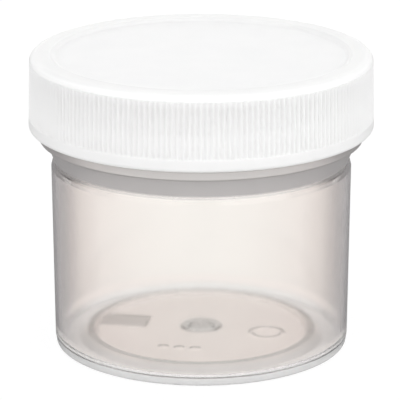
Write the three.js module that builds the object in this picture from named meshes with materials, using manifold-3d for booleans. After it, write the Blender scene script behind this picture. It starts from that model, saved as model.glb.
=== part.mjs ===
// Wide-mouth specimen jar with a screw cap. Three pieces make it: a straight-sided jar moulded
// in natural polypropylene, a ribbed white cap, and the foam liner that the cap presses on the
// jar's rim. Millimetres, +Z up. The jar stands on z = 0 and its axis is the Z axis.

import * as THREE from 'three';
import { mergeVertices } from 'three/addons/utils/BufferGeometryUtils.js';
import Module from 'manifold-3d';

const wasm = await Module();
wasm.setup();

// ---- Driving dimensions ----------------------------------------------------------------

const TURN = 2 * Math.PI;
const FACETS = 48; // flats round every large turned surface

const wall = {
  thickness: 1.25,
  lowRadius: 31.4, // outside, just above the heel
  highRadius: 31.83, // outside, at its widest
  highHeight: 38.9,
  shoulderRadius: 31.5, // the wall ends in a bevel
  shoulderHeight: 40.15,
  waistRadius: 31.3, // a notch parts it from the flare that carries the ring
  waistHeight: 40.6,
  flareRadius: 32.7,
  flareHeight: 44.5,
};

const base = {
  footRadius: 31.2,
  footRound: 0.55,
  heelRadius: 31.3, // parting line of the mould's base insert
  heelHeight: 1.75,
  heelStep: 0.1,
  floor: 2.6, // height of the raised middle of the inner floor
  outerFloor: 1.35, // height of the rest of it, out to the wall
  floorFillet: 1.5,
  stepInner: 24.5, // the slope up to the raised middle
  stepOuter: 26.3,
  panelRadius: 25.7, // the underside is recessed below the raised middle
  panelDepth: 1.3,
  panelSlope: 3.5,
};

const gate = {
  bossFoot: 4.6, // low boss on the inner floor, over the gate
  bossTop: 4.1,
  bossRise: 0.25,
  wellRadius: 3.0, // dimple in the underside, below the boss
  wellTopRadius: 2.2,
  wellDepth: 0.8,
  nubRadius: 0.7, // what is left of the sprue
  nubTaper: 0.15,
  nubLength: 0.45,
};

const ring = {
  radius: 34.35, // bead that the cap's skirt comes down to
  bottom: 44.85,
  top: 46.9,
  lowerRound: 0.55,
  chamfer: 0.35,
};

const neck = {
  radius: 33.3, // root of the outside thread
  bore: 31.4,
  boreStart: 48.8,
  boreTaper: 2.2,
  rim: 59.9,
  rimRound: 0.45,
};

const thread = {
  lead: 4.233, // six turns to the inch, one start, right-handed
  turns: 1.25,
  runOut: 24, // degrees over which each end fades into the wall
  depth: 1.15,
  rootWidth: 2.3,
  crestWidth: 0.95,
  bite: 0.35, // how far the bead reaches into the wall that carries it
  jarStart: 52.4, // height of the jar thread's centre line at its lower end
  capDrop: 1.75, // the cap's thread runs this far below the jar's
};

const cap = {
  radius: 36.5,
  topRadius: 36.2, // the skirt has draft
  upperRadius: 36.3, // just over the ribs
  bottom: 47.2,
  top: 63.3,
  shoulder: 1.8, // rounding between the rim and the skirt
  lip: 0.95, // rounding of the skirt's lower edge
  rimInner: 31.6, // inner edge of the raised rim
  discRadius: 30.4,
  disc: 62.5, // height of the recessed disc
  discSag: 0.15, // hollow of the soft step between the rim and the disc
  plate: 1.4, // thickness of the disc
  bore: 34.85, // root of the inside thread
  leadIn: 0.6,
  corner: 0.3,
};

const ribs = {
  count: 196,
  bottom: 49.9,
  top: 61.5,
  crest: 36.35,
  depth: 0.32,
  overlap: 0.2, // how far the ribbed sleeve reaches into the plain bands
  coreRadius: 35.7,
  boreRadius: 35.3,
};

const liner = {
  radius: 34.25,
  thickness: 0.95,
  gap: 0.12, // left free over the jar's rim
  edge: 0.15,
};

const pocket = { width: 10.4, length: 7.2, depth: 0.4, x: -16.8, y: 3.7, turn: -0.17 };
const groove = { inner: 2.9, outer: 3.7, depth: 0.3, x: 14.0, y: -3.8, facets: 24 };
const pips = {
  count: 3,
  radius: 0.9,
  depth: 0.3,
  x: -8.0,
  y: -12.6,
  pitch: 3.4,
  turn: -0.2,
  facets: 12,
};
const markStart = 0.3; // how far below the recessed panel the cuts for its marks begin

// ---- Helpers ---------------------------------------------------------------------------

// An arc as [radius, height] pairs, from one angle to another in degrees.
function arc(centreR, centreZ, radius, from, to, steps = 3) {
  const points = [];
  for (let i = 0; i <= steps; i += 1) {
    const angle = THREE.MathUtils.degToRad(from + ((to - from) * i) / steps);
    points.push([centreR + radius * Math.cos(angle), centreZ + radius * Math.sin(angle)]);
  }
  return points;
}

// A turned shape about the Z axis. The profile runs anticlockwise in the radius-height plane.
function turned(profile, facets = FACETS) {
  const points = profile.map(([r, z]) => new THREE.Vector2(r, z));
  return new THREE.LatheGeometry(points, facets).rotateX(Math.PI / 2);
}

// Merges a geometry's shared corners, and drops the triangles that close up on the axis.
function toSolid(geometry) {
  const bare = geometry.clone();
  bare.deleteAttribute('normal');
  bare.deleteAttribute('uv');
  const merged = mergeVertices(bare);
  const corners = merged.index.array;
  const triVerts = [];
  for (let i = 0; i < corners.length; i += 3) {
    const [a, b, c] = corners.slice(i, i + 3);
    if (a !== b && b !== c && c !== a) triVerts.push(a, b, c);
  }
  const mesh = new wasm.Mesh({
    numProp: 3,
    vertProperties: new Float32Array(merged.attributes.position.array),
    triVerts: new Uint32Array(triVerts),
  });
  return new wasm.Manifold(mesh);
}

function toGeometry(solid) {
  const mesh = solid.getMesh();
  const geometry = new THREE.BufferGeometry();
  geometry.setAttribute('position', new THREE.BufferAttribute(mesh.vertProperties, mesh.numProp));
  geometry.setIndex(new THREE.BufferAttribute(mesh.triVerts, 1));
  geometry.computeVertexNormals();
  return geometry;
}

// The helical bead of a thread. A straight bar of its section is wrapped round the axis: the
// bar's length becomes the angle, and its section stands out of the wall by side: +1 on the
// neck's outside, -1 on the cap's inside.
function threadBead(wallRadius, startHeight, side) {
  const { rootWidth, crestWidth, depth, bite, turns, lead, runOut } = thread;
  const section = new THREE.Shape([
    new THREE.Vector2(-bite, -rootWidth / 2),
    new THREE.Vector2(0, -rootWidth / 2),
    new THREE.Vector2(depth, -crestWidth / 2),
    new THREE.Vector2(depth, crestWidth / 2),
    new THREE.Vector2(0, rootWidth / 2),
    new THREE.Vector2(-bite, rootWidth / 2),
  ]);
  const steps = Math.round(turns * FACETS);
  const bar = new THREE.ExtrudeGeometry(section, { depth: 1, steps, bevelEnabled: false });
  const position = bar.attributes.position;
  for (let i = 0; i < position.count; i += 1) {
    const along = position.getZ(i);
    const degreesFromEnd = Math.min(along, 1 - along) * turns * 360;
    const swell = THREE.MathUtils.smoothstep(degreesFromEnd + 1, 0, runOut);
    const stand = position.getX(i) > 0 ? position.getX(i) * swell : position.getX(i);
    const angle = along * turns * TURN;
    const radius = wallRadius + side * stand;
    const height = startHeight + (lead * angle) / TURN - side * position.getY(i);
    position.setXYZ(i, radius * Math.cos(angle), radius * Math.sin(angle), height);
  }
  return toSolid(bar);
}

// ---- Jar -------------------------------------------------------------------------------

// The boss over the gate, from its foot to its top: its height is a smooth step of the radius.
function bossCurve(steps = 4) {
  const points = [];
  for (let i = 0; i <= steps; i += 1) {
    const share = i / steps;
    const radius = THREE.MathUtils.lerp(gate.bossFoot, gate.bossTop, share);
    points.push([radius, base.floor + gate.bossRise * THREE.MathUtils.smoothstep(share, 0, 1)]);
  }
  return points;
}

function jarProfile() {
  const panel = base.panelDepth;
  const wellTop = panel + gate.wellDepth;
  const boreLow = wall.lowRadius - wall.thickness;
  const boreHigh = wall.highRadius - wall.thickness;
  const fillet = base.floorFillet;
  return [
    [0, wellTop - gate.nubLength],
    [gate.nubRadius - gate.nubTaper, wellTop - gate.nubLength],
    [gate.nubRadius, wellTop],
    [gate.wellTopRadius, wellTop],
    [gate.wellRadius, panel],
    [base.panelRadius - base.panelSlope, panel],
    [base.panelRadius, 0],
    ...arc(base.footRadius - base.footRound, base.footRound, base.footRound, -90, 0),
    [base.heelRadius, base.heelHeight - base.heelStep],
    [wall.lowRadius, base.heelHeight],
    [wall.highRadius, wall.highHeight],
    [wall.shoulderRadius, wall.shoulderHeight],
    [wall.waistRadius, wall.waistHeight],
    [wall.flareRadius, wall.flareHeight],
    ...arc(ring.radius - ring.lowerRound, ring.bottom + ring.lowerRound, ring.lowerRound, -90, 0),
    [ring.radius, ring.top - ring.chamfer],
    [ring.radius - ring.chamfer, ring.top],
    [neck.radius, ring.top],
    ...arc(neck.radius - neck.rimRound, neck.rim - neck.rimRound, neck.rimRound, 0, 90),
    ...arc(neck.bore + neck.rimRound, neck.rim - neck.rimRound, neck.rimRound, 90, 180),
    [neck.bore, neck.boreStart],
    [boreHigh, neck.boreStart - neck.boreTaper],
    [boreHigh, wall.highHeight],
    ...arc(boreLow - fillet, base.outerFloor + fillet, fillet, 0, -90, 4),
    [base.stepOuter, base.outerFloor],
    [base.stepInner, base.floor],
    ...bossCurve(),
    [0, base.floor + gate.bossRise],
  ];
}

// Plain moulded marks in the underside's recessed panel: a date-stamp pocket with nothing in
// it, a ring, and a row of pips that number the mould's cavity.
function baseMarks() {
  const stamp = new THREE.BoxGeometry(pocket.width, pocket.length, pocket.depth + markStart);
  stamp.rotateZ(pocket.turn);
  stamp.translate(pocket.x, pocket.y, base.panelDepth + (pocket.depth - markStart) / 2);
  const low = base.panelDepth - markStart;
  const high = base.panelDepth + groove.depth;
  const circle = turned([
    [groove.inner, low],
    [groove.outer, low],
    [groove.outer, high],
    [groove.inner, high],
    [groove.inner, low],
  ], groove.facets);
  circle.translate(groove.x, groove.y, 0);
  const marks = [toSolid(stamp), toSolid(circle)];
  for (let i = 0; i < pips.count; i += 1) {
    const height = pips.depth + markStart;
    const pip = new THREE.CylinderGeometry(pips.radius, pips.radius, height, pips.facets);
    pip.rotateX(Math.PI / 2);
    const along = pips.pitch * i;
    pip.translate(
      pips.x + along * Math.cos(pips.turn),
      pips.y + along * Math.sin(pips.turn),
      base.panelDepth + (pips.depth - markStart) / 2,
    );
    marks.push(toSolid(pip));
  }
  return marks.reduce((all, one) => all.add(one));
}

function makeJar() {
  const body = toSolid(turned(jarProfile()));
  const bead = threadBead(neck.radius, thread.jarStart, 1);
  const material = new THREE.MeshStandardMaterial({
    color: 0xe9e4df,
    roughness: 0.25,
    metalness: 0,
    transparent: true,
    opacity: 0.55,
  });
  const mesh = new THREE.Mesh(toGeometry(body.add(bead).subtract(baseMarks())), material);
  mesh.name = 'jar';
  return mesh;
}

// ---- Cap -------------------------------------------------------------------------------

function capProfile() {
  const underside = cap.disc - cap.plate;
  const { radius, topRadius, upperRadius, shoulder, lip } = cap;
  return [
    [0, underside],
    [cap.bore - cap.corner, underside],
    [cap.bore, underside - cap.corner],
    [cap.bore, cap.bottom + cap.leadIn],
    [cap.bore + cap.leadIn / 2, cap.bottom],
    ...arc(radius - lip, cap.bottom + lip, lip, -90, 0),
    [radius, ribs.bottom],
    [ribs.coreRadius, ribs.bottom],
    [ribs.coreRadius, ribs.top],
    [upperRadius, ribs.top],
    ...arc(topRadius - shoulder, cap.top - shoulder, shoulder, 0, 90, 5),
    [cap.rimInner, cap.top],
    [(cap.rimInner + cap.discRadius) / 2, (cap.top + cap.disc) / 2 - cap.discSag],
    [cap.discRadius, cap.disc],
    [0, cap.disc],
  ];
}

// The ribbed band of the skirt is a sleeve with a zigzag outline.
function ribSleeve() {
  const outline = [];
  for (let i = 0; i < ribs.count * 2; i += 1) {
    const angle = (i * TURN) / (ribs.count * 2);
    const radius = i % 2 === 0 ? ribs.crest : ribs.crest - ribs.depth;
    outline.push(new THREE.Vector2(radius * Math.cos(angle), radius * Math.sin(angle)));
  }
  const shape = new THREE.Shape(outline);
  const hole = new THREE.Path().absarc(0, 0, ribs.boreRadius, 0, TURN, true);
  shape.holes.push(new THREE.Path(hole.getPoints(FACETS).slice(0, -1)));
  const depth = ribs.top - ribs.bottom + 2 * ribs.overlap;
  const sleeve = new THREE.ExtrudeGeometry(shape, { depth, steps: 1, bevelEnabled: false });
  return sleeve.translate(0, 0, ribs.bottom - ribs.overlap);
}

function makeCap() {
  const body = toSolid(turned(capProfile()));
  const bead = threadBead(cap.bore, thread.jarStart - thread.capDrop, -1);
  const material = new THREE.MeshStandardMaterial({
    color: 0xf7f7f6,
    roughness: 0.38,
    metalness: 0,
  });
  const mesh = new THREE.Mesh(toGeometry(body.add(toSolid(ribSleeve())).add(bead)), material);
  mesh.name = 'cap';
  return mesh;
}

// ---- Liner -----------------------------------------------------------------------------

function makeLiner() {
  const low = neck.rim + liner.gap;
  const high = low + liner.thickness;
  const profile = [
    [0, low],
    [liner.radius - liner.edge, low],
    [liner.radius, low + liner.edge],
    [liner.radius, high - liner.edge],
    [liner.radius - liner.edge, high],
    [0, high],
  ];
  const material = new THREE.MeshStandardMaterial({
    color: 0xf1f1ee,
    roughness: 0.8,
    metalness: 0,
  });
  const mesh = new THREE.Mesh(toGeometry(toSolid(turned(profile))), material);
  mesh.name = 'liner';
  return mesh;
}

// ---- Assembly --------------------------------------------------------------------------

const specimenJar = new THREE.Group();
specimenJar.add(makeJar(), makeLiner(), makeCap());

export default specimenJar;
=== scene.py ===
import math

import bpy
import numpy as np
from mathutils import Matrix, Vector


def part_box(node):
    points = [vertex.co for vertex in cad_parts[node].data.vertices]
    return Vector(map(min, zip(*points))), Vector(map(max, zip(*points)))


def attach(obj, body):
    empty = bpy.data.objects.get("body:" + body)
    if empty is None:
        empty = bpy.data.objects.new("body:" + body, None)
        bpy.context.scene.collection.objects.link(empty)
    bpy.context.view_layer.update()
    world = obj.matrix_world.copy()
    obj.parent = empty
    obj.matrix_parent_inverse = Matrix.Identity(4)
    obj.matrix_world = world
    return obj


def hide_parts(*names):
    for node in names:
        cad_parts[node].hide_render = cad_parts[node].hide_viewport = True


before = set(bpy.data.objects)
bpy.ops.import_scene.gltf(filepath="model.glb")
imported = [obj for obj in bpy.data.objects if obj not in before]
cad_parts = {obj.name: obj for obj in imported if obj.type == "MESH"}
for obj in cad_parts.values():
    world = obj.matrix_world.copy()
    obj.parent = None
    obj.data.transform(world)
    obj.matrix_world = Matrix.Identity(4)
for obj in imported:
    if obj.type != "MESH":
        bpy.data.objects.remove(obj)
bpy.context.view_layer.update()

# ---- Jar: one piece ----------------------------------------------------------------------
# One injection moulding in natural polypropylene, about 1.25 mm thick: a straight wall, a
# thick ring that the cap comes down to, and a neck with an outside thread. It stands on the
# rim of its base, whose recessed middle carries the gate's dimple and the mould's marks.

MM = 0.001
TURN = 2 * math.pi
NEAR = 0.01                      # slack when a point's place is compared, in millimetres

jar_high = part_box("jar")[1]
JAR_RIM = jar_high.z / MM        # height of the neck's rim
FLOOR, OUTER_FLOOR = 2.6, 1.35   # the inner floor is raised in the middle
STEP_INNER, STEP_OUTER = 24.5, 26.3
RECESS = 1.3                     # the underside's middle is this far off the bench
RECESS_INNER, RECESS_OUTER = 22.2, 25.7
FOOT, FOOT_ROUND = 31.2, 0.55
HEEL, HEEL_STEP = 1.75, 0.05     # where the mould's base insert meets its wall
WALL_LOW, WALL_HIGH, WALL_TOP = 31.4, 31.83, 38.9
SHOULDER, WAIST = (31.5, 40.15), (31.3, 40.6)   # the wall ends in a bevel, and a notch
FLARE_TOP = (32.7, 44.5)         # parts it from the solid flare that carries the ring
THICKNESS = 1.25
RING, RING_LOW, RING_TOP = 34.35, 44.85, 46.9
RING_ROUNDS = 0.55, 0.35         # of its lower and upper edges
NECK, BORE, RIM_ROUND = 33.3, 31.4, 0.45
BORE_START, BORE_TAPER = 48.8, 2.2   # the neck's bore ends here, and narrows to the wall's
THREAD = {"lead": 4.233, "turns": 1.25, "fade": 24, "depth": 1.15, "root": 2.3, "crest": 0.95}
JAR_THREAD_START = 52.4
THREAD_CLEAR = 0.5               # the neck stays plain this far above the ring


def arc(centre_r, centre_z, radius, start, stop, steps):
    """Points on a circle: its centre plus the radius times the cosine and sine of an angle
    that runs evenly from start to stop, in degrees."""
    angle = np.radians(np.linspace(start, stop, steps + 1))
    return np.column_stack([centre_r + radius * np.cos(angle),
                            centre_z + radius * np.sin(angle)])


def line(start, stop, step):
    """Points on a straight line from start to stop, as near to step apart as fits evenly."""
    start, stop = np.array(start, float), np.array(stop, float)
    count = max(1, round(np.linalg.norm(stop - start) / step))
    return start + np.linspace(0, 1, count + 1)[:, None] * (stop - start)


def braced(profile, reach=0.05, longest=0.45):
    """The profile with a point added a short reach inside both ends of every stretch longer
    than longest, so that smooth shading rounds only the corners and leaves the flats flat."""
    steps = np.diff(profile, axis=0)
    length = np.linalg.norm(steps, axis=1)
    inset = np.where(length > longest, reach / np.maximum(length, 1e-9), 0)[:, None] * steps
    trio = np.stack([profile[:-1], profile[:-1] + inset, profile[1:] - inset], axis=1)
    points = np.vstack([trio.reshape(-1, 2), profile[-1:]])
    keep = np.r_[True, np.linalg.norm(np.diff(points, axis=0), axis=1) > 1e-6]
    return points[keep]


def put(name, points, faces, crisp=30):
    """A mesh object at the origin from points in millimetres, smooth-shaded except along
    edges that turn by more than crisp degrees."""
    mesh = bpy.data.meshes.new(name)
    mesh.from_pydata((points * MM).tolist(), [], faces)
    mesh.polygons.foreach_set("use_smooth", np.ones(len(mesh.polygons), bool))
    mesh.set_sharp_from_angle(angle=math.radians(crisp))
    made = bpy.data.objects.new(name, mesh)
    bpy.context.scene.collection.objects.link(made)
    return made


def turned(profile, columns, shape=None):
    """Points and faces of a solid of revolution about Z. The profile, pairs of radius and
    height, starts and ends on the axis; every point between goes round as a ring of columns
    points at the radius times cosine and sine. shape may change radius and height by angle."""
    radius, height = (np.repeat(profile[1:-1, k:k + 1], columns, axis=1) for k in (0, 1))
    angle = np.broadcast_to(np.arange(columns) * TURN / columns, radius.shape)
    if shape:
        radius, height = shape(radius, height, angle)
    rings = np.stack([radius * np.cos(angle), radius * np.sin(angle), height], axis=-1)
    poles = np.array([[0, 0, profile[0, 1]], [0, 0, profile[-1, 1]]])
    points = np.vstack([rings.reshape(-1, 3), poles])
    row, column = np.arange(len(profile) - 3)[:, None] * columns, np.arange(columns)[None]
    after = (column + 1) % columns
    quads = np.stack([row + column, row + after,
                      row + columns + after, row + columns + column], axis=-1)
    first, last = len(points) - 2, len(points) - 1
    top = (len(profile) - 3) * columns
    here, there = column[0], after[0]
    caps = [np.column_stack([np.full(columns, first), there, here]),
            np.column_stack([np.full(columns, last), top + here, top + there])]
    return points, quads.reshape(-1, 4).tolist() + np.vstack(caps).tolist()


def thread_stand(height, angle, start):
    """How far a one-start thread stands out of its wall. Its centre line climbs by the lead
    each turn. Across it the bead is a trapezium, full depth inside the crest's width and
    nothing outside the root's, and it fades in and out smoothly over its two ends."""
    stand = np.zeros_like(height)
    for lap in range(math.ceil(THREAD["turns"])):
        along = angle + lap * TURN
        offset = np.abs(height - start - THREAD["lead"] * along / TURN)
        flank = (THREAD["root"] / 2 - offset) / (THREAD["root"] / 2 - THREAD["crest"] / 2)
        from_end = np.minimum(along, THREAD["turns"] * TURN - along)
        fade = np.clip(from_end / math.radians(THREAD["fade"]), 0, 1)
        fade = fade * fade * (3 - 2 * fade)
        stand = np.maximum(stand, THREAD["depth"] * np.clip(flank, 0, 1) * fade)
    return stand


def ramp(distance, width):
    """A smooth step: 0 where distance is less than minus half the width, 1 beyond plus half,
    and in between three times the square less twice the cube."""
    share = np.clip(distance / width + 0.5, 0, 1)
    return share * share * (3 - 2 * share)


POCKET = {"x": -16.8, "y": 3.7, "turn": -0.17, "width": 10.4, "length": 7.2, "depth": 0.4}
GROOVE = {"x": 14.0, "y": -3.8, "inner": 2.9, "outer": 3.7, "depth": 0.2}
PIPS = {"x": -8.0, "y": -12.6, "turn": -0.2, "pitch": 3.4, "count": 3, "radius": 1.0,
        "depth": 0.15}
MARK_EDGE = 0.4                  # width of the marks' soft edges


def mark_depth(radius, angle):
    """How deep the mould's marks go into the underside: a rectangular date-stamp pocket with
    nothing in it, a ring, and a row of round pips, each a product of smooth steps."""
    x, y = radius * np.cos(angle), radius * np.sin(angle)
    cos, sin = math.cos(POCKET["turn"]), math.sin(POCKET["turn"])
    across = (x - POCKET["x"]) * cos + (y - POCKET["y"]) * sin
    along = (y - POCKET["y"]) * cos - (x - POCKET["x"]) * sin
    depth = POCKET["depth"] * ramp(POCKET["width"] / 2 - np.abs(across), MARK_EDGE) \
        * ramp(POCKET["length"] / 2 - np.abs(along), MARK_EDGE)
    out = np.hypot(x - GROOVE["x"], y - GROOVE["y"])
    depth += GROOVE["depth"] * ramp(out - GROOVE["inner"], MARK_EDGE) \
        * ramp(GROOVE["outer"] - out, MARK_EDGE)
    for i in range(PIPS["count"]):
        step = PIPS["pitch"] * i
        out = np.hypot(x - PIPS["x"] - step * math.cos(PIPS["turn"]),
                       y - PIPS["y"] - step * math.sin(PIPS["turn"]))
        depth += PIPS["depth"] * ramp(PIPS["radius"] - out, MARK_EDGE)
    return depth


WELL, WELL_TOP, WELL_DEPTH = 3.0, 2.2, 0.8   # the gate's dimple in the underside
NUB, NUB_TAPER, NUB_LENGTH = 0.7, 0.15, 0.45
BOSS_FOOT, BOSS_TOP, BOSS_RISE = 4.6, 4.1, 0.25   # the floor's low boss above it
FILLET = 1.5                     # between the floor and the wall's inside
FLARE_THIN = 0.1                 # the flare's share, from its foot, that is still thin
JAR_COLUMNS = 320

bore_low, bore_high = WALL_LOW - THICKNESS, WALL_HIGH - THICKNESS
well_top = RECESS + WELL_DEPTH
haze_foot = np.array(WAIST) + FLARE_THIN * (np.array(FLARE_TOP) - WAIST)
boss_radius = np.linspace(BOSS_FOOT, BOSS_TOP, 9)
boss = np.column_stack([boss_radius, FLOOR + BOSS_RISE * ramp(
    (BOSS_FOOT + BOSS_TOP) / 2 - boss_radius, BOSS_FOOT - BOSS_TOP)])
jar_profile = braced(np.vstack([
    [(0, well_top - NUB_LENGTH), (NUB - NUB_TAPER, well_top - NUB_LENGTH),
     (NUB, well_top), (WELL_TOP, well_top)],
    line((WELL, RECESS), (RECESS_INNER, RECESS), 0.25),
    [(RECESS_OUTER, 0)],
    arc(FOOT - FOOT_ROUND, FOOT_ROUND, FOOT_ROUND, -90, 0, 5),
    [(WALL_LOW - HEEL_STEP, HEEL - HEEL_STEP)],
    line((WALL_LOW, HEEL), (WALL_HIGH, WALL_TOP), 4.0),
    [SHOULDER, WAIST], line(haze_foot, FLARE_TOP, 4.0),
    arc(RING - RING_ROUNDS[0], RING_LOW + RING_ROUNDS[0], RING_ROUNDS[0], -90, 0, 6),
    arc(RING - RING_ROUNDS[1], RING_TOP - RING_ROUNDS[1], RING_ROUNDS[1], 0, 90, 5),
    line((NECK, RING_TOP), (NECK, JAR_RIM - RIM_ROUND), 0.2)[:-1],
    arc(NECK - RIM_ROUND, JAR_RIM - RIM_ROUND, RIM_ROUND, 0, 90, 6),
    arc(BORE + RIM_ROUND, JAR_RIM - RIM_ROUND, RIM_ROUND, 90, 180, 6),
    [(BORE, BORE_START), (bore_high, BORE_START - BORE_TAPER), (bore_high, WALL_TOP)],
    arc(bore_low - FILLET, OUTER_FLOOR + FILLET, FILLET, 0, -90, 12),
    [(STEP_OUTER, OUTER_FLOOR), (STEP_INNER, FLOOR)],
    boss,
    [(0, FLOOR + BOSS_RISE)],
]))


def jar_shape(radius, height, angle):
    """Adds the thread's stand to the neck's radius, and the marks' depth to the height of the
    underside."""
    on_neck = (radius > NECK - NEAR) & (height > RING_TOP + THREAD_CLEAR)
    stand = np.where(on_neck, thread_stand(height, angle, JAR_THREAD_START), 0)
    under = (radius < RECESS_INNER) & (height < RECESS + NEAR)
    return radius + stand, height + np.where(under, mark_depth(radius, angle), 0)


jar = put("jar_moulding", *turned(jar_profile, JAR_COLUMNS, jar_shape))

# Each point's finish and painted shade. matt is 1 on the rim that the jar stands on, and less
# on the recess. The share for thick sections is 1 on the flare, where the section is thickest,
# and less on the ring, the bevel below and the heel's seam: it makes them hazier, and greyer as
# painted shade. cloudy is 1 on the heel's outside.
RECESS_SHARE = 0.3
RING_SHARE, BEVEL_SHARE, SEAM_SHARE = 0.8, 0.4, 0.8
profile_r, profile_z = jar_profile[:, 0], jar_profile[:, 1]
under = np.arange(len(jar_profile)) < np.flatnonzero(profile_r > FOOT - FOOT_ROUND)[0] + 1
matt = np.where(profile_r > RECESS_OUTER - NEAR, 1.0, RECESS_SHARE) * under
outside = np.arange(len(jar_profile)) < np.argmax(profile_z)
outside &= profile_z > SHOULDER[1] - NEAR
thick_and_shaded = np.select([outside & (profile_z < haze_foot[1] - NEAR),
                   outside & (profile_z < FLARE_TOP[1] + NEAR),
                   outside & (profile_z < RING_TOP - NEAR),
                   ~under & (profile_r > FOOT) & (profile_z < HEEL + NEAR)
                   & (profile_z > HEEL - HEEL_STEP - NEAR)],
                  [BEVEL_SHARE, 1.0, RING_SHARE, SEAM_SHARE], 0.0)
cloudy = ~under & (profile_r > FOOT - FOOT_ROUND) & (profile_z < HEEL - NEAR)
for key, share in (("matt", matt), ("thick_and_shaded", thick_and_shaded), ("cloudy", cloudy)):
    rings = np.repeat(share[1:-1].astype(np.float32), JAR_COLUMNS)
    values = np.r_[rings, share[0], share[-1]].astype(np.float32)
    jar.data.attributes.new(key, "FLOAT", "POINT").data.foreach_set("value", values)


def srgb(code):
    """The linear colour of an sRGB hex value: below 0.04045 a share over 12.92, and above it
    the share plus 0.055, over 1.055, to the power 2.4."""
    shares = np.array([int(code[i:i + 2], 16) for i in (1, 3, 5)]) / 255
    linear = np.where(shares <= 0.04045, shares / 12.92, ((shares + 0.055) / 1.055) ** 2.4)
    return (*linear.tolist(), 1.0)


def add(tree, kind, inputs=None, stops=None, **settings):
    """Adds a node of that kind. Each input takes a value, or a link from another node's
    output; stops are a colour ramp's positions and colours; settings are its properties."""
    made = tree.nodes.new(kind)
    for key, value in settings.items():
        setattr(made, key, value)
    for i, (place, colour) in enumerate(stops or []):
        elements = made.color_ramp.elements
        stop = elements[i] if i < min(2, len(elements)) else elements.new(place)
        stop.position, stop.color = place, colour
    for key, value in (inputs or {}).items():
        if isinstance(value, bpy.types.NodeSocket):
            tree.links.new(value, made.inputs[key])
        else:
            made.inputs[key].default_value = value
    return made


# Natural polypropylene, moulded in a polished tool, is translucent and faintly warm. A ray
# that skims the wall has a longer way through it and comes out darker. The floor's upper face
# carries painted shade by radius: greyer over the gate's boss, a dark ring over the recess's
# side and a slightly darker warm grey between. The date-stamp pocket is painted darker too.
RAMP_REACH = 40                  # radius at the end of the floor's ramp
FLOOR_SHADE_FROM = 2.14           # above the gate's dimple, so that only the upper face has it
STAMP_SHADE = 0.62
# Here the floor's painted shade gives way to the wall's tone.
WALL_TONE_FROM, WALL_TONE_TO = 3.4, 4.8   # the floor's tint gives way to the wall's
polypropylene = bpy.data.materials.new("natural_polypropylene_moulded")
polypropylene.use_nodes = True
tree = polypropylene.node_tree
tree.nodes.clear()
place = add(tree, "ShaderNodeTexCoord").outputs["Object"]
height = add(tree, "ShaderNodeSeparateXYZ", {0: place}).outputs["Z"]
facing = add(tree, "ShaderNodeLayerWeight", {"Blend": 0.5}).outputs["Facing"]
wall_tone = add(tree, "ShaderNodeValToRGB", {"Fac": facing}, [
    (0.0, srgb("#fffdfa")), (0.3, srgb("#f9f4f1")), (0.43, srgb("#ece6e3")),
    (0.55, srgb("#ddd7d5")), (0.67, srgb("#cec9c8")), (0.8, srgb("#b0acad")),
    (1.0, srgb("#939091"))]).outputs["Color"]
flat_place = add(tree, "ShaderNodeVectorMath", {0: place, 1: (1, 1, 0)},
                 operation="MULTIPLY").outputs["Vector"]
out_from_axis = add(tree, "ShaderNodeVectorMath", {0: flat_place},
                    operation="LENGTH").outputs["Value"]
out_share = add(tree, "ShaderNodeMath", {0: out_from_axis, 1: RAMP_REACH * MM},
                operation="DIVIDE").outputs["Value"]
# Painted shade by radius on the floor's upper face: grey over the gate's boss, a dark ring over
# the recess's side, a slightly darker warm grey between.
floor_shade_tones = [(1.2, "#c0bbb9"), (2.4, "#aca8a6"), (4.3, "#aca8a6"), (4.7, "#faeae3"),
               (22.9, "#faeae3"), (23.2, "#7f7b79"), (23.8, "#8f8b89"), (24.4, "#7f7b79"),
               (24.6, "#fffaf7")]
floor_painted_shade = add(tree, "ShaderNodeValToRGB", {"Fac": out_share}, [
    (out / RAMP_REACH, srgb(code)) for out, code in floor_shade_tones]).outputs["Color"]
on_top = add(tree, "ShaderNodeMath", {0: height, 1: FLOOR_SHADE_FROM * MM},
             operation="GREATER_THAN").outputs["Value"]
# Inputs 6 and 7 of a colour Mix node are its two colours, and output 2 is the result.
floor_side_shade = add(tree, "ShaderNodeMix", {0: on_top, 6: srgb("#ffffff"), 7: floor_painted_shade},
                data_type="RGBA").outputs[2]
stamp_place = add(tree, "ShaderNodeMapping", {
    "Vector": place, "Location": (POCKET["x"] * MM, POCKET["y"] * MM, 0),
    "Rotation": (0, 0, POCKET["turn"]),
    "Scale": (POCKET["width"] / 2 * MM, POCKET["length"] / 2 * MM, 1)},
    vector_type="TEXTURE").outputs["Vector"]
stamp_reach = add(tree, "ShaderNodeVectorMath", {0: stamp_place},
                  operation="ABSOLUTE").outputs["Vector"]
stamp_sides = add(tree, "ShaderNodeSeparateXYZ", {0: stamp_reach})
stamp_out = add(tree, "ShaderNodeMath", {0: stamp_sides.outputs["X"],
                                         1: stamp_sides.outputs["Y"]},
                operation="MAXIMUM").outputs["Value"]
# Painted shade: inside the date-stamp pocket the colour is darkened to 0.62 of itself.
stamp_painted_shade = add(tree, "ShaderNodeMapRange", {
    "Value": stamp_out, "From Min": 0.97, "From Max": 1.03,
    "To Min": STAMP_SHADE, "To Max": 1.0}).outputs["Result"]
base_painted_shade = add(tree, "ShaderNodeVectorMath", {0: floor_side_shade, 1: stamp_painted_shade},
                  operation="MULTIPLY").outputs["Vector"]
is_wall = add(tree, "ShaderNodeMapRange", {
    "Value": height, "From Min": WALL_TONE_FROM * MM, "From Max": WALL_TONE_TO * MM},
    interpolation_type="SMOOTHSTEP").outputs["Result"]
thick_and_shaded = add(tree, "ShaderNodeAttribute", attribute_name="thick_and_shaded").outputs["Fac"]
thin_tone = add(tree, "ShaderNodeMix", {0: is_wall, 6: base_painted_shade, 7: wall_tone},
                data_type="RGBA").outputs[2]
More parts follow.
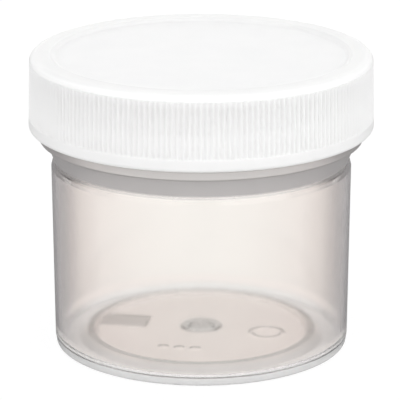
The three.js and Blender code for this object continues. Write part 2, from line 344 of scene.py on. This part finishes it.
# Painted shade: the flare, ring, bevel and heel's seam are greyed towards #b8b5b5, which
# darkens the band under the cap's ring and draws the seam as a dark line.
section_tone_and_shade = add(tree, "ShaderNodeMix", {0: thick_and_shaded, 6: thin_tone, 7: srgb("#b8b5b5")},
                   data_type="RGBA").outputs[2]
# The plastic scatters the light that it doesn't pass: more in thick sections and where the
# wall is seen edge-on. The heel scatters most of it as seen from outside, and is as clear as
# the rest from inside. No real surface does that, but it keeps the haze from showing twice.
CLEAR, CLEAR_HEEL, CLEAR_THICK = 0.985, 0.4, 0.3
SKIM_FROM, SKIM_TO = 0.5, 0.85   # Facing, at which the haze of the wall's edges sets in
cloudy = add(tree, "ShaderNodeAttribute", attribute_name="cloudy").outputs["Fac"]
from_inside = add(tree, "ShaderNodeNewGeometry").outputs["Backfacing"]
frosted = add(tree, "ShaderNodeMath", {0: cloudy, 1: from_inside}, operation="SUBTRACT",
              use_clamp=True).outputs["Value"]
heel_clearness = add(tree, "ShaderNodeMapRange", {
    "Value": frosted, "To Min": CLEAR, "To Max": CLEAR_HEEL}).outputs["Result"]
skimming = add(tree, "ShaderNodeMapRange", {
    "Value": facing, "From Min": SKIM_FROM, "From Max": SKIM_TO,
    "To Max": is_wall}).outputs["Result"]
hazy = add(tree, "ShaderNodeMath", {0: thick_and_shaded, 1: skimming},
           operation="MAXIMUM").outputs["Value"]
clearness = add(tree, "ShaderNodeMapRange", {
    "Value": hazy, "To Min": heel_clearness, "To Max": CLEAR_THICK}).outputs["Result"]
# Flow clouds about 18 mm across, from uneven cooling, and a 5 mm waviness of the surface.
cloud = add(tree, "ShaderNodeTexNoise", {
    "Vector": place, "Scale": 1 / (18 * MM), "Detail": 2.0, "Roughness": 0.45}).outputs["Fac"]
cloud_tone = add(tree, "ShaderNodeMapRange", {
    "Value": cloud, "From Min": 0.3, "From Max": 0.7,
    "To Min": 0.985, "To Max": 1.0}).outputs["Result"]
clouded_and_shaded = add(tree, "ShaderNodeVectorMath", {0: section_tone_and_shade, 1: cloud_tone},
              operation="MULTIPLY").outputs["Vector"]
wave = add(tree, "ShaderNodeTexNoise", {
    "Vector": place, "Scale": 1 / (5 * MM), "Detail": 1.0}).outputs["Fac"]
waved = add(tree, "ShaderNodeBump", {
    "Height": wave, "Strength": 0.02, "Distance": 0.3 * MM}).outputs["Normal"]
# The wall is polished, the rim that it stands on is matt, and the flare is in between.
POLISHED, MATT, THICK_BLUR = 0.1, 0.7, 0.5
matt = add(tree, "ShaderNodeAttribute", attribute_name="matt").outputs["Fac"]
blurred = add(tree, "ShaderNodeMath", {0: thick_and_shaded, 1: THICK_BLUR, 2: matt},
              operation="MULTIPLY_ADD").outputs["Value"]
roughness = add(tree, "ShaderNodeMapRange", {
    "Value": blurred, "To Min": POLISHED, "To Max": MATT}).outputs["Result"]
surface = add(tree, "ShaderNodeBsdfPrincipled", {
    "Base Color": clouded_and_shaded, "Roughness": roughness, "IOR": 1.49,
    "Transmission Weight": clearness, "Normal": waved}).outputs["BSDF"]
add(tree, "ShaderNodeOutputMaterial", {"Surface": surface})
jar.data.materials.append(polypropylene)

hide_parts("jar")
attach(jar, "jar")

# ---- Liner: one piece --------------------------------------------------------------------
# A disc punched from closed-cell polyethylene foam sheet, 0.95 mm thick. It is pressed into
# the cap past the thread, and seals on the jar's rim.

liner_low, liner_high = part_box("liner")
LINER_EDGE, LINER_COLUMNS = 0.15, 192
liner_radius, liner_floor, liner_top = (v / MM for v in
                                        (liner_high.x, liner_low.z, liner_high.z))
liner_profile = braced(np.array([
    (0, liner_floor), (liner_radius - LINER_EDGE, liner_floor),
    (liner_radius, liner_floor + LINER_EDGE), (liner_radius, liner_top - LINER_EDGE),
    (liner_radius - LINER_EDGE, liner_top), (0, liner_top)]))
liner = put("liner_disc", *turned(liner_profile, LINER_COLUMNS))

# Closed-cell foam is matt and off-white. Its 0.4 mm cells are drawn 0.8 mm wide so that they
# show, as a fine pebbling. The sheet's skin is a little glossier where it was rolled; the
# roughness here is the same all over.
foam = bpy.data.materials.new("polyethylene_foam_sheet")
foam.use_nodes = True
tree = foam.node_tree
tree.nodes.clear()
place = add(tree, "ShaderNodeTexCoord").outputs["Object"]
cells = add(tree, "ShaderNodeTexVoronoi", {
    "Vector": place, "Scale": 1 / (0.8 * MM)}).outputs["Distance"]
cell_tone = add(tree, "ShaderNodeValToRGB", {"Fac": cells}, [
    (0.0, srgb("#f4f4f0")), (0.7, srgb("#e9e9e4"))]).outputs["Color"]
pebbled = add(tree, "ShaderNodeBump", {
    "Height": cells, "Strength": 0.25, "Distance": 0.05 * MM}).outputs["Normal"]
surface = add(tree, "ShaderNodeBsdfPrincipled", {
    "Base Color": cell_tone, "Roughness": 0.75, "IOR": 1.5,
    "Normal": pebbled}).outputs["BSDF"]
add(tree, "ShaderNodeOutputMaterial", {"Surface": surface})
liner.data.materials.append(foam)

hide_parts("liner")
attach(liner, "liner")

# ---- Cap: one piece ----------------------------------------------------------------------
# One injection moulding in white polypropylene: a recessed disc inside a raised rim, and a
# skirt with 196 shallow grip ribs that run out into plain bands above and below. The inside
# thread has the jar thread's shape and stands inwards.

cap_low, cap_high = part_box("cap")
CAP, CAP_BOTTOM, CAP_TOP = cap_high.x / MM, cap_low.z / MM, cap_high.z / MM
CAP_SHOULDER, CAP_LIP = 1.8, 0.95
SHOULDER_FROM = 16               # degrees up the shoulder's round, past the ribs' end
CAP_DRAFT = 0.3                  # the skirt leans in by this from its lip to its shoulder
RIM_INNER, RIM_ROLL = 31.6, 0.3  # the step down to the disc begins a roll outside it
STEP_WIDTH, DISC_DROP, PLATE = 1.2, 0.8, 1.4
CAP_BORE, LEAD_IN, CORNER = 34.85, 0.6, 0.3
CAP_THREAD_DROP = 1.75           # its thread starts this far below the jar's, to mesh with it
RIBS, RIB_LOW, RIB_HIGH, RIB_DEPTH = 196, 49.7, 61.9, 0.3
RIB_FADE_LOW, RIB_FADE_HIGH = 0.5, 0.4
RIB_SHARPNESS = 0.7
RIB_CLEAR = 0.1                  # the plain band below ends this far short of the ribs


def skirt_radius(height):
    """The skirt's outside: a straight line that leans in by the draft on its way up."""
    lip_top, shoulder_foot = CAP_BOTTOM + CAP_LIP, CAP_TOP - CAP_SHOULDER
    return CAP - CAP_DRAFT * (height - lip_top) / (shoulder_foot - lip_top)


def rib_cut(height, angle):
    """Depth of the valleys between ribs: half of one less the cosine of 196 times the angle,
    to a power below one, which leaves narrow crests, faded out at both ends of the ribs."""
    fade = np.clip((height - RIB_LOW) / RIB_FADE_LOW, 0, 1) \
        * np.clip((RIB_HIGH - height) / RIB_FADE_HIGH, 0, 1)
    valley = np.clip(0.5 - 0.5 * np.cos(RIBS * angle), 0, 1) ** RIB_SHARPNESS
    return RIB_DEPTH * fade * fade * (3 - 2 * fade) * valley


disc = CAP_TOP - DISC_DROP
underside = disc - PLATE
inner_profile = braced(np.vstack([
    [(0, underside), (CAP_BORE - CORNER, underside)],
    line((CAP_BORE, underside - CORNER), (CAP_BORE, CAP_BOTTOM + LEAD_IN), 0.25),
    [(CAP_BORE + LEAD_IN / 2, CAP_BOTTOM)],
    arc(CAP - CAP_LIP, CAP_BOTTOM + CAP_LIP, CAP_LIP, -90, 0, 8),
    [(skirt_radius(RIB_LOW - RIB_CLEAR), RIB_LOW - RIB_CLEAR)],
]))
rib_heights = np.r_[RIB_LOW + RIB_FADE_LOW * np.linspace(0, 1, 5),
                    np.linspace(RIB_LOW + RIB_FADE_LOW, RIB_HIGH - RIB_FADE_HIGH, 4)[1:-1],
                    RIB_HIGH - RIB_FADE_HIGH * np.linspace(1, 0, 5)]
# The rim steps down to the disc by the square of one less the way across to the power 1.2.
step_share = np.linspace(0, 1, 11)
outer_profile = braced(np.vstack([
    arc(CAP - CAP_DRAFT - CAP_SHOULDER, CAP_TOP - CAP_SHOULDER, CAP_SHOULDER,
        SHOULDER_FROM, 90, 12),
    [(RIM_INNER + RIM_ROLL, CAP_TOP)],
    np.column_stack([RIM_INNER + RIM_ROLL - (STEP_WIDTH + RIM_ROLL) * step_share,
                     disc + DISC_DROP * (1 - step_share ** 1.2) ** 2]),
    [(0, disc)],
]))
# The band of ribs has four columns to a rib, and the rest of the cap one.
FINE = 4
inside = len(inner_profile)
coarse_profile = np.vstack([inner_profile, outer_profile])


def cap_shape(radius, height, angle):
    """Takes the thread's stand off the bore's radius, so that it stands inwards."""
    on_bore = np.abs(radius - CAP_BORE) < NEAR
    start = JAR_THREAD_START - CAP_THREAD_DROP
    stand = np.where(on_bore, thread_stand(height, angle, start), 0)
    return radius - stand, height


points, faces = turned(coarse_profile, RIBS, cap_shape)
seam = (inside - 2) * RIBS       # the row of quads that the band of ribs takes the place of
faces = faces[:seam] + faces[seam + RIBS:]
angle, band_height = np.meshgrid(np.arange(RIBS * FINE) * TURN / (RIBS * FINE), rib_heights)
band_radius = skirt_radius(band_height) - rib_cut(band_height, angle)
band = np.stack([band_radius * np.cos(angle), band_radius * np.sin(angle), band_height], -1)
first = len(points)
points = np.vstack([points, band.reshape(-1, 3)])
fine = RIBS * FINE
row, column = np.arange(len(rib_heights) - 1)[:, None] * fine + first, np.arange(fine)[None]
after = (column + 1) % fine
quads = np.stack([row + column, row + after, row + fine + after, row + fine + column], -1)
# Each coarse edge meets four fine ones in a single seven-sided face.
coarse = np.arange(RIBS)
fan = np.arange(FINE, -1, -1)[None] + coarse[:, None] * FINE
below, over = (inside - 2) * RIBS, (inside - 1) * RIBS
top_row = first + (len(rib_heights) - 1) * fine
lower = np.column_stack([below + coarse, below + (coarse + 1) % RIBS, first + fan % fine])
upper = np.column_stack([over + (coarse + 1) % RIBS, over + coarse,
                         top_row + fan[:, ::-1] % fine])
faces += quads.reshape(-1, 4).tolist() + lower.tolist() + upper.tolist()
cap = put("cap_moulding", points, faces, crisp=40)

# White polypropylene, moulded in a fine-blasted tool, is semi-gloss, and light goes a few
# millimetres into it. Uneven cooling leaves the faintest clouds, and the tool a 0.3 mm grain
# that is drawn 0.6 mm wide so that it shows in the highlights. The raised rim is painted
# darker than the disc inside it, as painted shade.
RIM_SHADE = 0.86
RIM_SHADE_FROM, RIM_SHADE_TO = 0.1, 0.6   # heights over the disc between which it sets in
white_plastic = bpy.data.materials.new("white_polypropylene_moulded")
white_plastic.use_nodes = True
tree = white_plastic.node_tree
tree.nodes.clear()
place = add(tree, "ShaderNodeTexCoord").outputs["Object"]
cloud = add(tree, "ShaderNodeTexNoise", {
    "Vector": place, "Scale": 1 / (14 * MM), "Detail": 2.0, "Roughness": 0.5}).outputs["Fac"]
cloud_tone = add(tree, "ShaderNodeValToRGB", {"Fac": cloud}, [
    (0.3, srgb("#f4f4f4")), (0.7, srgb("#f8f8f7"))]).outputs["Color"]
height = add(tree, "ShaderNodeSeparateXYZ", {0: place}).outputs["Z"]
# Painted shade: the raised rim's colour is darkened to 0.86 of the disc's.
rim_shade_share = add(tree, "ShaderNodeMapRange", {
    "Value": height, "From Min": (disc + RIM_SHADE_FROM) * MM,
    "From Max": (disc + RIM_SHADE_TO) * MM, "To Min": 1.0, "To Max": RIM_SHADE}).outputs["Result"]
rim_painted_shade = add(tree, "ShaderNodeVectorMath", {0: cloud_tone, 1: rim_shade_share},
               operation="MULTIPLY").outputs["Vector"]
grain = add(tree, "ShaderNodeTexNoise", {
    "Vector": place, "Scale": 1 / (0.6 * MM), "Detail": 1.0}).outputs["Fac"]
grained = add(tree, "ShaderNodeBump", {
    "Height": grain, "Strength": 0.05, "Distance": 0.02 * MM}).outputs["Normal"]
surface = add(tree, "ShaderNodeBsdfPrincipled", {
    "Base Color": rim_painted_shade, "Roughness": 0.35, "IOR": 1.49,
    "Subsurface Weight": 1.0, "Subsurface Radius": (1, 1, 1), "Subsurface Scale": 3 * MM,
    "Normal": grained}).outputs["BSDF"]
add(tree, "ShaderNodeOutputMaterial", {"Surface": surface})
cap.data.materials.append(white_plastic)

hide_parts("cap")
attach(cap, "cap")

# ---- Table, light and camera --------------------------------------------------------------
# A plain white table that keeps a soft shadow, an even white room, and large soft lamps high
# on the left, on the right, behind and overhead.

TABLE_DROP = 0.2 * MM            # keeps the table clear of the foot
TABLE_HALF = 3.0
table_mesh = bpy.data.meshes.new("table")
table_mesh.from_pydata([(x * TABLE_HALF, y * TABLE_HALF, -TABLE_DROP) for x, y in
                        ((-1, -1), (1, -1), (1, 1), (-1, 1))], [], [(0, 1, 2, 3)])
table = bpy.data.objects.new("table", table_mesh)
bpy.context.scene.collection.objects.link(table)

table_white = bpy.data.materials.new("white_table")
table_white.use_nodes = True
tree = table_white.node_tree
tree.nodes.clear()
rays = add(tree, "ShaderNodeLightPath").outputs
seen = add(tree, "ShaderNodeMath", {0: rays["Is Camera Ray"], 1: rays["Is Transmission Ray"]},
           operation="MAXIMUM").outputs["Value"]
unrefracted = add(tree, "ShaderNodeMath", {0: 1.0, 1: rays["Is Transmission Ray"]},
                  operation="SUBTRACT").outputs["Value"]
mirrored = add(tree, "ShaderNodeMath", {0: rays["Is Glossy Ray"], 1: unrefracted},
               operation="MULTIPLY").outputs["Value"]
# Painted shade in reflections: glossy rays that are not refracted see the table as a dark grey
# of 0.3, which darkens the jar's edges.
TABLE_WHITE, TABLE_SEEN, TABLE_GLOW, TABLE_MIRRORED = 0.85, 0.1, 0.92, 0.3
seen_grey = add(tree, "ShaderNodeMapRange", {
    "Value": seen, "To Min": TABLE_WHITE, "To Max": TABLE_SEEN}).outputs["Result"]
table_grey = add(tree, "ShaderNodeMapRange", {
    "Value": mirrored, "To Min": seen_grey, "To Max": TABLE_MIRRORED}).outputs["Result"]
glow = add(tree, "ShaderNodeMath", {0: seen, 1: TABLE_GLOW},
           operation="MULTIPLY").outputs["Value"]
lit = add(tree, "ShaderNodeBsdfDiffuse", {"Color": table_grey}).outputs["BSDF"]
glowing = add(tree, "ShaderNodeEmission", {"Strength": glow}).outputs["Emission"]
both = add(tree, "ShaderNodeAddShader", {0: lit, 1: glowing}).outputs["Shader"]
add(tree, "ShaderNodeOutputMaterial", {"Surface": both})
table_mesh.materials.append(table_white)

ROOM = 0.95                      # the room's brightness on the object; the view sees it at 1
room = bpy.data.worlds.new("white_room")
bpy.context.scene.world = room
room.use_nodes = True
tree = room.node_tree
tree.nodes.clear()
rays = add(tree, "ShaderNodeLightPath").outputs
seen = add(tree, "ShaderNodeMath", {0: rays["Is Camera Ray"], 1: rays["Is Transmission Ray"]},
           operation="MAXIMUM").outputs["Value"]
strength = add(tree, "ShaderNodeMapRange", {
    "Value": seen, "To Min": ROOM, "To Max": 1.0}).outputs["Result"]
sky = add(tree, "ShaderNodeBackground", {"Strength": strength}).outputs["Background"]
add(tree, "ShaderNodeOutputWorld", {"Surface": sky})

LAMP_DISTANCE, LAMP_TILT, LAMP_SIZE = 1.6, 30, 1.6
LAMPS = {"left": (-40, 5.5), "right": (40, 8.0), "back": (180, 3.0)}   # bearing and watts
TOP_LAMP = {"height": 1.5, "back": 0.1, "size": 1.4, "watts": 3.0}
LAMP_AIM = 30                    # every lamp points at this height on the jar's axis
aim = Vector((0, 0, LAMP_AIM * MM))


def lamp(name, position, size, watts):
    """A square area lamp at that position, turned towards the object."""
    light = bpy.data.lights.new(name, "AREA")
    light.size, light.energy = size, watts
    made = bpy.data.objects.new(name, light)
    made.location = position
    made.rotation_euler = (aim - made.location).to_track_quat("-Z", "Y").to_euler()
    bpy.context.scene.collection.objects.link(made)


tilt = math.radians(LAMP_TILT)
for side, (bearing, watts) in LAMPS.items():
    bearing = math.radians(bearing)
    lamp(f"{side}_lamp", Vector((math.sin(bearing) * math.cos(tilt),
                                 -math.cos(bearing) * math.cos(tilt),
                                 math.sin(tilt))) * LAMP_DISTANCE, LAMP_SIZE, watts)
lamp("top_lamp", Vector((0, TOP_LAMP["back"], TOP_LAMP["height"])),
     TOP_LAMP["size"], TOP_LAMP["watts"])

AIM_HEIGHT = 30.7 * MM           # the view's middle, on the jar's axis
VIEW_DISTANCE, VIEW_TILT = 624.5 * MM, 16.85
VIEW_LENS, SENSOR, VIEW_SHIFT, VIEW_START = 263.4, 36.0, -0.0031, 0.01
tilt = math.radians(VIEW_TILT)
view = bpy.data.cameras.new("camera")
view.lens, view.sensor_width = VIEW_LENS, SENSOR
view.shift_x, view.clip_start = VIEW_SHIFT, VIEW_START
camera = bpy.data.objects.new("camera", view)
camera.location = (0, -VIEW_DISTANCE * math.cos(tilt),
                   AIM_HEIGHT + VIEW_DISTANCE * math.sin(tilt))
camera.rotation_euler = (math.pi / 2 - tilt, 0, 0)
bpy.context.scene.collection.objects.link(camera)
bpy.context.scene.camera = camera
bpy.context.scene.view_settings.view_transform = "Standard"
